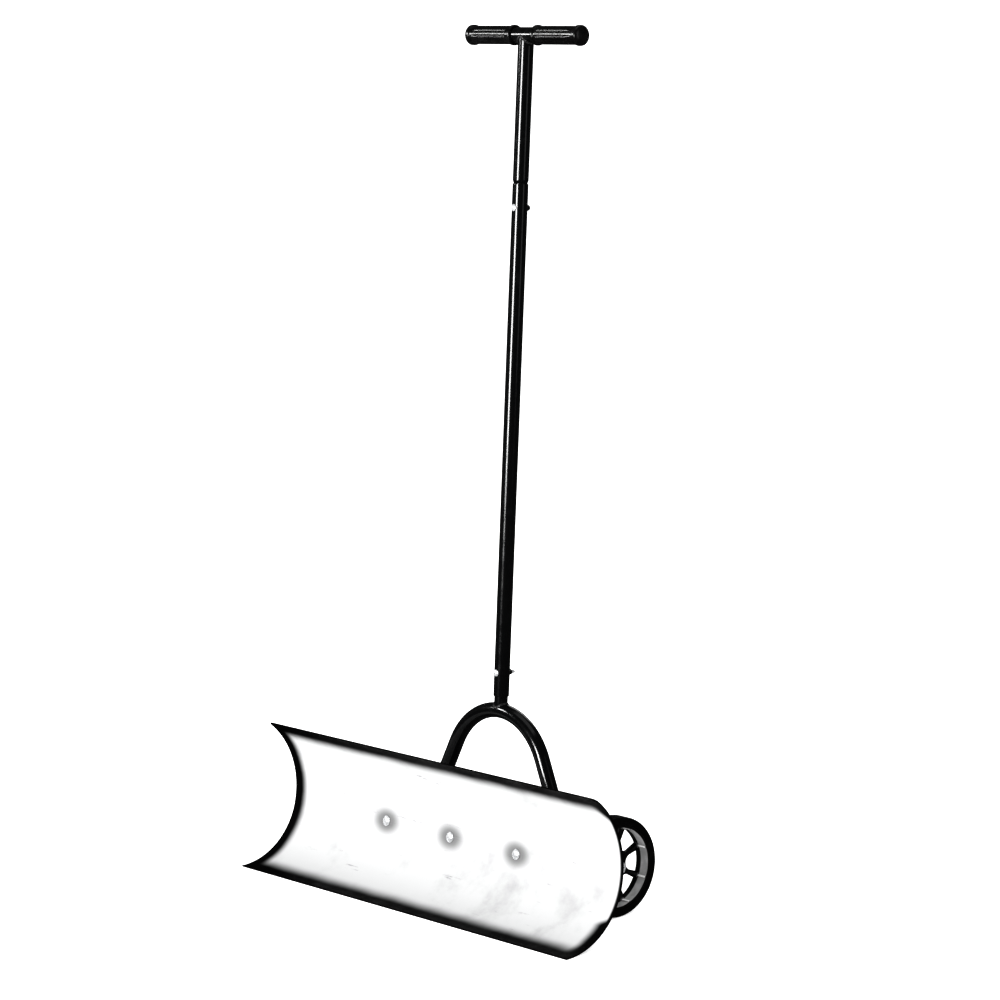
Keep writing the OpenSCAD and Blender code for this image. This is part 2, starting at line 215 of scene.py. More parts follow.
def at_blade_bolt(x):
    """Frame at the curve's centre with local +Z out through the bolt, to the blade's back."""
    start = UPPER_CENTRE + Vector((x, 0, 0))
    return Matrix.Translation(start) @ Matrix.Rotation(BOLT_ANGLE + math.pi, 4, "X")


def at_joint(up):
    """Frame on the pole with local +Z along a joint bolt, from its head to its nut."""
    return lifted(POLE, up) @ Matrix.Rotation(-math.pi / 2, 4, "X")


# ---------- mesh helpers ----------


def mesh_object(name, points, faces, smooth_angle=35):
    """A mesh object at the origin, smooth except at edges sharper than the angle."""
    mesh = bpy.data.meshes.new(name)
    mesh.from_pydata([tuple(p) for p in points], [], faces)
    mesh.validate()
    mesh.shade_smooth()
    mesh.set_sharp_from_angle(angle=math.radians(smooth_angle))
    obj = bpy.data.objects.new(name, mesh)
    bpy.context.scene.collection.objects.link(obj)
    return obj


def spread(low, high, steps):
    """Evenly spaced values from low to high, with both of them."""
    return [low + (high - low) * i / steps for i in range(steps + 1)]


def polar(reach, angle):
    return reach * Vector((math.cos(angle), math.sin(angle)))


def rounded(corners, steps=4):
    """Closed outline with rounded corners. Each corner is (across, along, radius)."""
    outline = []
    count = len(corners)
    for i, (across, along, radius) in enumerate(corners):
        here = Vector((across, along))
        if radius <= 0:
            outline.append(here)
            continue
        back = (Vector(corners[i - 1][:2]) - here).normalized()
        on = (Vector(corners[(i + 1) % count][:2]) - here).normalized()
        half = back.angle(on) / 2
        centre = here + (back + on).normalized() * (radius / math.sin(half))
        first = here + back * (radius / math.tan(half)) - centre
        last = here + on * (radius / math.tan(half)) - centre
        sweep = math.pi - 2 * half
        for step in range(steps + 1):
            t = step / steps
            turned = first * math.sin((1 - t) * sweep) + last * math.sin(t * sweep)
            outline.append(centre + turned / math.sin(sweep))
    return outline


def lathe_data(profile, matrix, segments=96, shape=None):
    """Points and faces of a profile of (radius, along) turned round local +Z.

    A profile that starts and ends on the axis closes there, and any other closes on itself.
    shape(radius, along, angle) may move each point, and returns (radius, along)."""
    points, rings = [], []
    for radius, along in profile:
        if radius < 1e-7:
            rings.append([len(points)] * segments)
            points.append(matrix @ Vector((0, 0, along)))
            continue
        ring = []
        for i in range(segments):
            angle = TURN * i / segments
            r, z = shape(radius, along, angle) if shape else (radius, along)
            ring.append(len(points))
            points.append(matrix @ Vector((r * math.cos(angle), r * math.sin(angle), z)))
        rings.append(ring)
    on_axis = profile[0][0] < 1e-7
    pairs = len(rings) - 1 if on_axis else len(rings)
    faces = []
    for k in range(pairs):
        near, far = rings[k], rings[(k + 1) % len(rings)]
        for i in range(segments):
            j = (i + 1) % segments
            corners = [near[i], near[j], far[j], far[i]]
            faces.append(tuple(dict.fromkeys(corners)))
    return points, faces


def join_data(parts):
    """One list of points and one of faces from several (points, faces)."""
    points, faces = [], []
    for part_points, part_faces in parts:
        base = len(points)
        points.extend(part_points)
        faces.extend(tuple(base + i for i in face) for face in part_faces)
    return points, faces


def loft_data(rings, closed=False):
    """Points and faces through rings of equal length: capped at both ends, or closed on itself."""
    count = len(rings[0])
    points = [p for ring in rings for p in ring]
    faces = []
    for k in range(len(rings) if closed else len(rings) - 1):
        low, high = k * count, (k + 1) % len(rings) * count
        for i in range(count):
            j = (i + 1) % count
            faces.append((low + i, low + j, high + j, high + i))
    if not closed:
        last = (len(rings) - 1) * count
        faces.append(tuple(reversed(range(count))))
        faces.append(tuple(last + i for i in range(count)))
    return points, faces


def levels_data(levels, matrix, closed=False):
    """A loft through 2D outlines, each at a height along local +Z."""
    rings = [[matrix @ Vector((p.x, p.y, z)) for p in ring] for ring, z in levels]
    return loft_data(rings, closed)


def prism_data(outline, low, high, bevel, matrix):
    """A plate of a 2D outline between two heights, with a small bevel on both rims."""
    inset = inset_outline(outline, bevel)
    levels = [(inset, low), (outline, low + bevel), (outline, high - bevel), (inset, high)]
    return levels_data(levels, matrix)


def inset_outline(outline, distance):
    """A counter-clockwise outline moved inwards by a small distance."""
    moved = []
    count = len(outline)
    for i, here in enumerate(outline):
        before = (here - outline[i - 1]).normalized()
        after = (outline[(i + 1) % count] - here).normalized()
        inward = Vector((-before.y - after.y, before.x + after.x)).normalized()
        share = max(0.3, inward.dot(Vector((-before.y, before.x))))
        moved.append(here + inward * (distance / share))
    return moved


def outward(obj):
    """Turns every closed shell's faces outwards."""
    work = bmesh.new()
    work.from_mesh(obj.data)
    bmesh.ops.recalc_face_normals(work, faces=work.faces)
    work.to_mesh(obj.data)
    work.free()
    return obj


def place(name, parts, finish, nodes, body="frame", smooth_angle=35):
    """Makes one piece from several (points, faces), on its body, for the CAD nodes that it shows."""
    slot, material = finish
    obj = outward(mesh_object(name, *join_data(parts), smooth_angle))
    obj.data.materials.append(material)
    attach(obj, body)
    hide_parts(*nodes)
    return obj


# ---------- material helpers ----------


def feed(tree, value, socket):
    """Gives a socket its value: a number, a colour or another socket."""
    if isinstance(value, bpy.types.NodeSocket):
        tree.links.new(value, socket)
    else:
        socket.default_value = (*value, 1.0) if isinstance(value, tuple) else value


class Shader:
    """A material with one Principled shader, and short calls to add nodes to it."""

    def __init__(self, name, **sockets):
        self.material = bpy.data.materials.new(name)
        self.material.use_nodes = True
        self.tree = self.material.node_tree
        self.shader = self.tree.nodes["Principled BSDF"]
        for socket, value in sockets.items():
            self.shader.inputs[socket.replace("_", " ")].default_value = value

    def node(self, kind, **settings):
        node = self.tree.nodes.new(kind)
        for key, value in settings.items():
            setattr(node, key, value)
        return node

    def link(self, source, target):
        self.tree.links.new(source, target)

    def put(self, value, socket):
        feed(self.tree, value, self.shader.inputs[socket])

    def coordinates(self):
        return self.node("ShaderNodeTexCoord").outputs["Object"]

    def noise(self, scale, detail=3.0, roughness=0.55, vector=None):
        """Noise whose scale is in features per metre."""
        noise = self.node("ShaderNodeTexNoise")
        noise.inputs["Scale"].default_value = scale
        noise.inputs["Detail"].default_value = detail
        noise.inputs["Roughness"].default_value = roughness
        self.link(vector or self.coordinates(), noise.inputs["Vector"])
        return noise.outputs["Fac"]

    def ramp(self, source, low, high, first, last):
        """Maps low..high smoothly to first..last."""
        node = self.node("ShaderNodeMapRange", interpolation_type="SMOOTHSTEP")
        values = {"From Min": low, "From Max": high, "To Min": first, "To Max": last}
        for socket, value in values.items():
            node.inputs[socket].default_value = value
        self.link(source, node.inputs["Value"])
        return node.outputs["Result"]

    def sum(self, operation, first, second):
        """A math node; each value is a number or a socket."""
        node = self.node("ShaderNodeMath", operation=operation)
        feed(self.tree, first, node.inputs[0])
        feed(self.tree, second, node.inputs[1])
        return node.outputs["Value"]

    def split(self, vector):
        """The three parts of a vector."""
        node = self.node("ShaderNodeSeparateXYZ")
        self.link(vector, node.inputs["Vector"])
        return node.outputs["X"], node.outputs["Y"], node.outputs["Z"]

    def reach(self, first, second):
        """Length of a vector with two parts."""
        squares = [self.sum("MULTIPLY", part, part) for part in (first, second)]
        return self.sum("SQRT", self.sum("ADD", *squares), 0.0)

    def mix(self, factor, first, second):
        """A colour mix; each colour is a tuple or a socket."""
        node = self.node("ShaderNodeMix", data_type="RGBA")
        for socket, value in (("Factor", factor), ("A", first), ("B", second)):
            feed(self.tree, value, node.inputs[socket])
        return node.outputs["Result"]

    def roughness(self, scale, detail, low, high):
        """Roughness that wanders from low to high with a noise."""
        self.put(self.ramp(self.noise(scale, detail), 0.3, 0.7, low, high), "Roughness")

    def bump(self, scale, detail, distance):
        """Bump from a noise; distance is the height of 1, in metres."""
        node = self.node("ShaderNodeBump")
        node.inputs["Distance"].default_value = distance
        self.link(self.noise(scale, detail), node.inputs["Height"])
        self.put(node.outputs["Normal"], "Normal")


def grey(value, tint=0.0):
    """A grey, a little bluer with a tint above 0 and warmer with one below."""
    return (value * (1 - tint), value, value * (1 + tint))


def mottled(name, patches, colours, rough, relief, **sockets):
    """A material that goes from one colour to another with a noise.

    The patches are (scale, detail, low, high): the change runs over the noise's low..high."""
    s = Shader(name, **sockets)
    scale, detail, low, high = patches
    share = s.ramp(s.noise(scale, detail), low, high, 0.0, 1.0)
    s.put(s.mix(share, *colours), "Base Color")
    s.roughness(*rough)
    s.bump(*relief)
    return s.material


def black_paint_material():
    """Semi-gloss black powder coat with a fine orange peel and faint dust."""
    dust = (35, 5, 0.55, 0.8)
    colours = (grey(0.003, 0.05), grey(0.008, 0.03))
    rough, relief = (60, 4, 0.13, 0.2), (900, 2, 0.00003)
    return mottled("black_powder_coat", dust, colours, rough, relief, Specular_IOR_Level=0.5)


def weld_material():
    """Painted weld bead: uneven in tone and in gloss."""
    patches = (420, 4, 0.35, 0.7)
    colours = (grey(0.008), grey(0.03))
    rough, relief = (250, 3, 0.2, 0.4), (700, 4, 0.00025)
    return mottled("painted_weld", patches, colours, rough, relief, Specular_IOR_Level=0.45)


def zinc_material():
    """Bright zinc plate with a fine spangle and light handling marks."""
    marks = (260, 5, 0.4, 0.75)
    colours = (grey(0.72, 0.012), grey(0.5, 0.02))
    rough, relief = (500, 3, 0.2, 0.36), (1800, 2, 0.00003)
    return mottled("zinc_plate", marks, colours, rough, relief, Metallic=0.6, Anisotropic=0.3)


def dark_zinc_material():
    """Black passivated zinc, a little paler in rubbed patches."""
    paler_part = (600, 4, 0.5, 0.8)
    colours = (grey(0.004), grey(0.02))
    rough, relief = (500, 3, 0.3, 0.45), (1800, 2, 0.00004)
    return mottled("dark_zinc", paler_part, colours, rough, relief, Specular_IOR_Level=0.3)


def grip_material():
    """Glossy black rubber with a fine moulded grain."""
    worn = (45, 4, 0.45, 0.75)
    colours = (grey(0.003), grey(0.008))
    rough, relief = (80, 4, 0.18, 0.26), (1500, 3, 0.00005)
    return mottled("grip_rubber", worn, colours, rough, relief, Specular_IOR_Level=0.5)


def tyre_material():
    """Matt black rubber with a coarse skin and some dust."""
    dust = (70, 6, 0.5, 0.8)
    colours = (grey(0.003), grey(0.009, -0.06))
    rough, relief = (120, 4, 0.55, 0.75), (1100, 4, 0.00015)
    return mottled("tyre_rubber", dust, colours, rough, relief, Specular_IOR_Level=0.12)


def rim_material():
    """Satin moulded dark plastic, with painted light outboard of the spokes: the barrel's inside is
    painted grey as if lit, and the rib edges carry painted highlights.
    """
    s = Shader("rim_plastic", Specular_IOR_Level=0.3)
    x, y, z = s.split(s.coordinates())
    along = s.sum("ABSOLUTE", x, 0.0)
    back = s.sum("SUBTRACT", y, BEAM_MIDDLE.y)
    up = s.sum("SUBTRACT", z, BEAM_MIDDLE.z)
    reach = s.reach(back, up)
    web_face = WHEEL_X - WEB_RECESS + WEB_T / 2
    lip_face = WHEEL_X + BARREL_HALF
    outboard = s.sum(
        "MULTIPLY",
        s.ramp(along, web_face - 0.0005, web_face + 0.0015, 0.0, 1.0),
        s.ramp(along, lip_face - 0.0022, lip_face - 0.0006, 1.0, 0.0),
    )
    at_barrel = s.ramp(reach, BARREL_IN_R - 0.004, BARREL_IN_R - 0.002, 0.0, 1.0)
    # Painted light: mask of the barrel's inside between the web and the lip, which is painted grey as
    # if lit.
    inside = s.sum("MULTIPLY", outboard, at_barrel)
    # Painted highlight along the edges of the ribs.
    rib_highlight = s.ramp(reach, BARREL_IN_R - 0.0013, BARREL_IN_R - 0.0004, 1.0, 0.0)
    flow = s.ramp(s.noise(50, 4), 0.35, 0.7, 0.0, 1.0)
    dark = s.mix(flow, grey(0.003), grey(0.006))
    # Painted light: the grey of the lit barrel.
    barrel = s.mix(flow, grey(0.34), grey(0.5))
    painted_light_colour = s.mix(rib_highlight, barrel, grey(0.9))
    s.put(s.mix(inside, dark, painted_light_colour), "Base Color")
    s.roughness(90, 3, 0.32, 0.48)
    s.bump(1300, 2, 0.00005)
    return s.material


def bush_material():
    """Grey nylon."""
    stain = (150, 4, 0.4, 0.75)
    colours = (grey(0.32), grey(0.24, -0.05))
    rough, relief = (200, 3, 0.4, 0.55), (1200, 2, 0.00005)
    return mottled(
        "bush_nylon", stain, colours, rough, relief, Subsurface_Weight=0.1, Subsurface_Scale=0.002
    )


def blade_material():
    """Pale satin paint with a black border that fades inwards, narrower on the middle of the right
    end as painted light, painted shade round the bolts, faint smudges, and faint streaks that are
    partly painted reflections.

    The UV map "sheet" holds the distance along the blade and up its curve, in metres."""
    s = Shader("blade_paint", Specular_IOR_Level=0.03)
    along, up, _ = s.split(s.node("ShaderNodeUVMap", uv_map="sheet").outputs["UV"])
    wave = s.ramp(s.noise(14, 3), 0.2, 0.8, -0.0015, 0.0015)
    from_right = s.sum("SUBTRACT", 2 * BLADE_HALF, along)
    from_top = s.sum("SUBTRACT", SHEET_LEN, up)
    # Painted light: over the middle of its height the right end's black border is narrower, as if the
    # sheet's end catches the light there.
    paler_part = s.sum("MULTIPLY", s.ramp(up, 0.085, 0.110, 0.0, 1.0), s.ramp(up, 0.235, 0.275, 1.0, 0.0))
    right_reach = s.sum("ADD", from_right, s.sum("MULTIPLY", paler_part, 0.030))
    clear = s.ramp(from_right, 0.003, 0.007, 0.0, 1.0)
    for reach, black_to, clear_from in (
        (along, 0.014, 0.034),
        (right_reach, 0.011, 0.030),
        (up, 0.016, 0.046),
        (from_top, 0.018, 0.042),
    ):
        edge = s.ramp(s.sum("ADD", reach, wave), black_to, clear_from, 0.0, 1.0)
        clear = s.sum("MULTIPLY", clear, edge)
    bolt_up = BLEND_UP + UPPER_R * (BOLT_ANGLE - BLEND_ANGLE)
    nearest = None
    for i in (-1, 0, 1):
        across = s.sum("MULTIPLY", s.sum("SUBTRACT", along, BLADE_HALF + i * BOLT_PITCH), 0.68)
        reach = s.reach(across, s.sum("SUBTRACT", up, bolt_up))
        nearest = reach if nearest is None else s.sum("MINIMUM", nearest, reach)
    # Painted shade: a dark ring round each bolt head, darkest next to the head and fading out by
    # about 26 mm.
    bolt_shade_ring = s.ramp(nearest, 0.008, 0.0265, 0.66, 0.0)
    smudge = s.ramp(s.noise(9, 6, 0.62), 0.5, 0.78, 0.0, 0.3)
    # Faint streaks along the blade: scuffs, and painted reflection lines.
    streak_space = s.node("ShaderNodeMapping")
    streak_space.inputs["Scale"].default_value = (1.0, 9.0, 9.0)
    s.link(s.coordinates(), streak_space.inputs["Vector"])
    scuff_and_reflection_streaks = s.ramp(s.noise(14, 8, 0.7, streak_space.outputs["Vector"]), 0.62, 0.72, 0.0, 0.45)
    pale = s.mix(s.sum("ADD", smudge, scuff_and_reflection_streaks), grey(0.40, 0.003), grey(0.05, 0.004))
    bolt_shaded_colour = s.mix(bolt_shade_ring, pale, grey(0.03))
    s.put(s.mix(clear, grey(0.002), bolt_shaded_colour), "Base Color")
    s.roughness(25, 4, 0.45, 0.6)
    s.bump(700, 2, 0.00005)
    return s.material


def floor_material():
    """Pale, slightly uneven studio floor."""
    s = Shader("studio_floor", Specular_IOR_Level=0.1)
    uneven = s.ramp(s.noise(0.8, 3), 0.3, 0.7, 0.0, 1.0)
    s.put(s.mix(uneven, grey(0.90), grey(0.93)), "Base Color")
    s.put(0.9, "Roughness")
    s.put(grey(1.0), "Emission Color")
    s.put(0.4, "Emission Strength")
    return s.material


# Each finish is a slot's name and the material that it gets.
BLACK = ("black_paint", black_paint_material())
WELD = ("weld", weld_material())
ZINC = ("zinc", zinc_material())
DARK_ZINC = ("dark_zinc", dark_zinc_material())
GRIP = ("grip_rubber", grip_material())
TYRE = ("tyre_rubber", tyre_material())
RIM = ("rim_plastic", rim_material())
BUSH = ("bush_plastic", bush_material())
BLADE = ("blade_paint", blade_material())

# ---------- blade ----------


def sheet_at(up):
    """The sheet's middle line at a distance up from the lip: its place and outward direction."""
    if up <= LIP_FLAT:
        return Vector((0, LIP_Y + up, SHEET_T / 2)), Vector((0, 0, -1))
    if up <= BLEND_UP:
        centre, radius, angle = LOWER_CENTRE, LOWER_R, (up - LIP_FLAT) / LOWER_R
    else:
        centre, radius, angle = UPPER_CENTRE, UPPER_R, BLEND_ANGLE + (up - BLEND_UP) / UPPER_R
    out = Vector((0, math.sin(angle), -math.cos(angle)))
    return centre + radius * out, out


def half_length(up):
    """Half of the sheet's length at a height, less where the top corners are round."""
    into_corner = max(0.0, CORNER_R - (SHEET_LEN - up))
    return BLADE_HALF - CORNER_R + math.sqrt(CORNER_R**2 - into_corner**2)


def half_thickness(x, up):
    """Half of the sheet's thickness, less at its rounded edges."""
    from_end = BLADE_HALF - abs(x)
    from_top = SHEET_LEN - up
    if from_end < CORNER_R and from_top < CORNER_R:
        distance = CORNER_R - math.hypot(CORNER_R - from_end, CORNER_R - from_top)
    else:
        distance = min(from_end, from_top, up)
    inside = min(SHEET_ROUND, max(0.0, distance))
    rise = math.sqrt(SHEET_ROUND**2 - (SHEET_ROUND - inside) ** 2)
    return SHEET_T / 2 - SHEET_ROUND + rise


def sheet_rows():
    """Distances up the sheet at which it has a row of points."""
    edge = EDGE_STEPS + [SHEET_ROUND]
    steps, corner_steps = 96, 8
    plain_to = SHEET_LEN - CORNER_R
    rows = edge + [SHEET_ROUND + (plain_to - SHEET_ROUND) * i / steps for i in range(1, steps)]
    for i in range(corner_steps):
        rows.append(plain_to + CORNER_R * math.sin(math.pi / 2 * i / corner_steps))
    rows += [SHEET_LEN - d for d in edge]
    kept = []
    for up in sorted(rows):
        if not kept or up - kept[-1] > SHEET_ROUND / 10:
            kept.append(up)
    return kept


def blade_sheet():
    """The curved sheet, with rounded edges all round and its UV map in metres."""
    rows = sheet_rows()
    columns = [(-1, d - SHEET_ROUND) for d in EDGE_STEPS]
    columns += [(share, 0.0) for share in spread(-1, 1, 60)]
    columns += [(1, SHEET_ROUND - d) for d in reversed(EDGE_STEPS)]
    points, uvs = [], []
    for share, extra in columns:
        for sign in (-1, 1):
            for up in rows:
                x = share * (half_length(up) - SHEET_ROUND) + extra
                middle, out = sheet_at(up)
                points.append(Vector((x, 0, 0)) + middle + sign * half_thickness(x, up) * out)
                uvs.append((x + BLADE_HALF, up))
    count = len(rows)

    def at(i, side, k):
        return (2 * i + side) * count + k

    faces = []
    for i in range(len(columns) - 1):
        for k in range(count - 1):
            faces.append((at(i, 0, k), at(i, 0, k + 1), at(i + 1, 0, k + 1), at(i + 1, 0, k)))
            faces.append((at(i, 1, k), at(i + 1, 1, k), at(i + 1, 1, k + 1), at(i, 1, k + 1)))
        for k in (0, count - 1):
            faces.append((at(i, 0, k), at(i + 1, 0, k), at(i + 1, 1, k), at(i, 1, k)))
    for i in (0, len(columns) - 1):
        for k in range(count - 1):
            faces.append((at(i, 0, k), at(i, 1, k), at(i, 1, k + 1), at(i, 0, k + 1)))
    obj = place("blade_sheet", [(points, faces)], BLADE, ["blade"], smooth_angle=60)
    layer = obj.data.uv_layers.new(name="sheet")
    for loop in obj.data.loops:
        layer.data[loop.index].uv = uvs[loop.vertex_index]


# ---------- fasteners ----------


def dome_profile(radius, height, foot):
    """Half outline of a domed head that points along -Z, with a short upright foot."""
    ball = (radius**2 + (height - foot) ** 2) / (2 * (height - foot))
    profile = []
    for angle in spread(0.0, math.asin(radius / ball), 12):
        profile.append((ball * math.sin(angle), ball - ball * math.cos(angle) - height))
    return profile


def bolt_data(matrix, head_r, head_h, shank_r, end, thread_from, pitch):
    """A domed bolt. Local +Z runs from under its head, at 0, to its threaded end."""
    profile = dome_profile(head_r, head_h, 0.0006)
    profile += [(head_r - 0.0002, -0.0001), (head_r - 0.0004, 0.0), (shank_r, 0.0)]
    turns = (end - thread_from) / pitch
    steps = max(8, round(turns * 8))
    profile += [(shank_r, along) for along in spread(thread_from, end, steps)]
    profile += [(shank_r * 0.75, end), (0.0, end)]
    depth = 0.35 * pitch

    def threaded(radius, along, angle):
        if abs(radius - shank_r) > 1e-9 or along <= thread_from:
            return radius, along
        phase = (along / pitch - angle / TURN) % 1.0
        cut = depth * abs(2 * phase - 1)
        blend = min(1.0, (along - thread_from) / pitch)
        ease = max(0.0, min(1.0, (end - along) / (0.8 * pitch)))
        return radius - cut * blend - (1 - ease) * 0.1 * shank_r, along

    return lathe_data(profile, matrix, 48, threaded)


def washer_data(matrix, radius, hole, height):
    bevel = min(0.0003, height / 4)
    corners = [(hole, 0, 0), (radius, 0, bevel), (radius, height, bevel), (hole, height, bevel)]
    return lathe_data(rounded(corners, 2), matrix, 64)


def nut_data(matrix, across, bore, height):
    """A hex nut whose corners are turned down at both faces."""
    flat = across / 2
    chamfer_r = flat * 0.97
    profile = [(bore + 0.0003, 0), (chamfer_r, 0)]
    profile += [(flat * 1.2, height * t) for t in (0.01, 0.5, 0.99)]
    profile += [(chamfer_r, height), (bore + 0.0003, height), (bore, height - 0.0003), (bore, 0.0003)]

    def hexagon(radius, along, angle):
        if radius < flat * 1.1:
            return radius, along
        turn = (angle + math.pi / 6) % (math.pi / 3) - math.pi / 6
        corner = flat / math.cos(turn)
        chamfer = max(0.0, corner - chamfer_r) * math.tan(math.radians(30))
        return corner, min(max(along, chamfer), height - chamfer)

    return lathe_data(profile, matrix, 72, hexagon)


def blade_fasteners():
    under_head = UPPER_R - SHEET_T / 2 - BOLT_LIFT
    back = SHEET_BACK + PLATE_T
    tail = BOLT_LIFT + SHEET_T + PLATE_T + WASHER_T
    end = tail + NUT_H + BOLT_TAIL
    bolts, washers, nuts = [], [], []
    for i in (-1, 0, 1):
        base = at_blade_bolt(i * BOLT_PITCH)
        head = lifted(base, under_head)
        bolts.append(bolt_data(head, BOLT_HEAD_R, BOLT_HEAD_H, BOLT_R, end, tail, 0.001))
        washer = lifted(base, back)
        washers.append(washer_data(washer, WASHER_R, WASHER_HOLE_R, WASHER_T))
        spin = Matrix.Rotation(0.35 * i + 0.2, 4, "Z")
        nut = lifted(base, back + WASHER_T) @ spin
        nuts.append(nut_data(nut, NUT_AF, BOLT_R, NUT_H))
    place("blade_carriage_bolts", bolts, ZINC, ["blade_bolts"])
    place("blade_round_washers", washers, ZINC, ["blade_washers"])
    place("blade_hex_nuts", nuts, ZINC, ["blade_nuts"])


def joint_fasteners():
    washers, nuts = [], []
    for name, node, up, end in (
        ("joint_pin_lower", "joint_bolt_lower", JOINT_INSET, LOWER_PIN_END),
        ("joint_pin_upper", "joint_bolt_upper", LOWER_LEN - JOINT_INSET, UPPER_PIN_END),
    ):
        base = at_joint(up)
        head = lifted(base, -TUBE_R)
        thread_from = 2 * TUBE_R + PIN_WASHER_T
        data = bolt_data(head, PIN_HEAD_R, PIN_HEAD_H, PIN_R, TUBE_R + end, thread_from, 0.0008)
        place(name, [data], ZINC, [node])
        washer = lifted(base, TUBE_R)
        washers.append(washer_data(washer, PIN_WASHER_R, PIN_R, PIN_WASHER_T))
        nut = lifted(base, TUBE_R + PIN_WASHER_T)
        nuts.append(nut_data(nut, PIN_NUT_AF, PIN_R, PIN_NUT_H))
    place("joint_round_washers", washers, DARK_ZINC, ["joint_washers"])
    place("joint_hex_nuts", nuts, DARK_ZINC, ["joint_nuts"])


# ---------- brackets, beam and axle ----------


def beam_in_bolt_frame():
    local = at_blade_bolt(0).inverted() @ BEAM_MIDDLE
    return Vector((local.y, local.z))


def web_outline(beam):
    """Outline of a web in the plane of a bolt's local +Y and +Z, cut to the beam's round."""
    back = SHEET_BACK + PLATE_T / 2
    ends = []
    for sign in (1, -1):
        start = Vector((sign * PAD_H / 2, back))
        run = beam + Vector((sign * WEB_FOOT, 0)) - start
        away = start - beam
        a, b = run.dot(run), 2 * run.dot(away)
        c = away.dot(away) - WEB_CUT_R**2
        t = (-b - math.sqrt(b * b - 4 * a * c)) / (2 * a)
        ends.append((start, start + run * t))
    angles = [math.atan2((p - beam).y, (p - beam).x) for _, p in ends]
    arc = [beam + polar(WEB_CUT_R, angle) for angle in spread(*angles, 16)]
    return [ends[1][0], ends[0][0]] + arc, angles


def web_places(side):
    edge = (PAD_W - PLATE_T) / 2
    return (-edge, edge) if side == 0 else (side * edge,)


def brackets():
    """Three brackets: a bolted pad each, with one or two webs back to the beam."""
    beam = beam_in_bolt_frame()
    outline, _ = web_outline(beam)
    corners = ((-1, -1), (1, -1), (1, 1), (-1, 1))
    pad = rounded([(x * PAD_W / 2, y * PAD_H / 2, PAD_CORNER_R) for x, y in corners])
    for side, name in zip((-1, 0, 1), ("left", "centre", "right")):
        base = at_blade_bolt(side * BOLT_PITCH)
        parts = [prism_data(pad, SHEET_BACK, SHEET_BACK + PLATE_T, 0.0004, base)]
        for x in web_places(side):
            upright = Matrix(((0, 0, 1, x), (1, 0, 0, 0), (0, 1, 0, 0), (0, 0, 0, 1)))
            parts.append(prism_data(outline, -PLATE_T / 2, PLATE_T / 2, 0.0003, base @ upright))
        place(f"bracket_{name}_plates", parts, BLACK, [f"bracket_{name}"])


def beam_and_axle():
    tube_half = BEAM_HALF - BEAM_CAP_T
    inner = BEAM_R - BEAM_WALL
    tube = [(inner, -tube_half, 0), (BEAM_R, -tube_half, 0.0003)]
    tube += [(BEAM_R, tube_half, 0.0003), (inner, tube_half, 0)]
    parts = [lathe_data(rounded(tube), along_x(BEAM_MIDDLE))]
    place("cross_beam_tube", parts, BLACK, ["cross_beam"])
    caps, washers, ends = [], [], []
    washer_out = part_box("axle_washers")[1].x - AXLE_WASHER_T
    cap_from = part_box("axle_caps")[1].x
    for side in (-1, 1):
        base = along_x(BEAM_MIDDLE, side)
        cap = [(AXLE_R, tube_half, 0), (BEAM_R, tube_half, 0.0003)]
        cap += [(BEAM_R, BEAM_HALF, 0.0009), (AXLE_R, BEAM_HALF, 0.0003)]
        caps.append(lathe_data(rounded(cap), base))
        for at in (BEAM_HALF, washer_out):
            flat = lifted(base, at)
            washers.append(washer_data(flat, AXLE_WASHER_R, AXLE_R, AXLE_WASHER_T))
        dome = lifted(base, cap_from) @ Matrix.Rotation(math.pi, 4, "X")
        ends.append(axle_cap_data(dome))
    place("beam_end_discs", caps, BLACK, ["beam_caps"])
    place("axle_round_washers", washers, ZINC, ["axle_washers"])
    place("axle_push_caps", ends, ZINC, ["axle_caps"])
    rod = frame["nodes"]["axle_rod"].data
    rod.materials.clear()
    rod.materials.append(ZINC[1])


def axle_cap_data(matrix):
    """A pressed push-on cap. Local +Z runs from the top of its dome at 0 down its skirt."""
    height = 0.0085
    outline = [(0.0, 0.0)]
    for angle in spread(0.0, math.pi / 2, 10)[1:]:
        outline.append(((CAP_R - 0.0012) * math.sin(angle), 0.003 * (1 - math.cos(angle))))
    outline += [(CAP_R - 0.0012, height - 0.0024), (CAP_R - 0.0004, height - 0.0019)]
    outline += [(CAP_R, height - 0.0014), (CAP_R, height - 0.0005), (CAP_R - 0.0004, height)]
    outline += [(AXLE_R + 0.0005, height), (0.0, height)]
    return lathe_data(outline, matrix, 72)


# ---------- wheels ----------


def half_window():
    """One side of the opening between two spokes, centred on +X, from its bottom outwards."""
    half = math.pi / SPOKES
    centre = (WINDOW_IN_R - SPOKE_W / 2) / (1 - math.sin(half))
    round_r = centre * math.sin(half) - SPOKE_W / 2
    bend = spread(math.pi, math.pi / 2 + half, 9)
    points = [Vector((centre, 0)) + polar(round_r, angle) for angle in bend]
    outer_r = BARREL_IN_R - SPOKE_FLARE
    for reach in spread(points[-1].length, outer_r, 5)[1:]:
        angle = half - math.asin(SPOKE_W / 2 / reach)
        points.append(polar(reach, angle))
    last_angle = half - math.asin(SPOKE_W / 2 / outer_r)
    flare_steps = 4
    for i in range(1, flare_steps + 1):
        t = math.pi / 2 * i / flare_steps
        reach = outer_r + SPOKE_FLARE * math.sin(t) + (0.0008 if i == flare_steps else 0.0)
        angle = last_angle - SPOKE_FLARE * (1 - math.cos(t)) / outer_r
        points.append(polar(reach, angle))
    return points


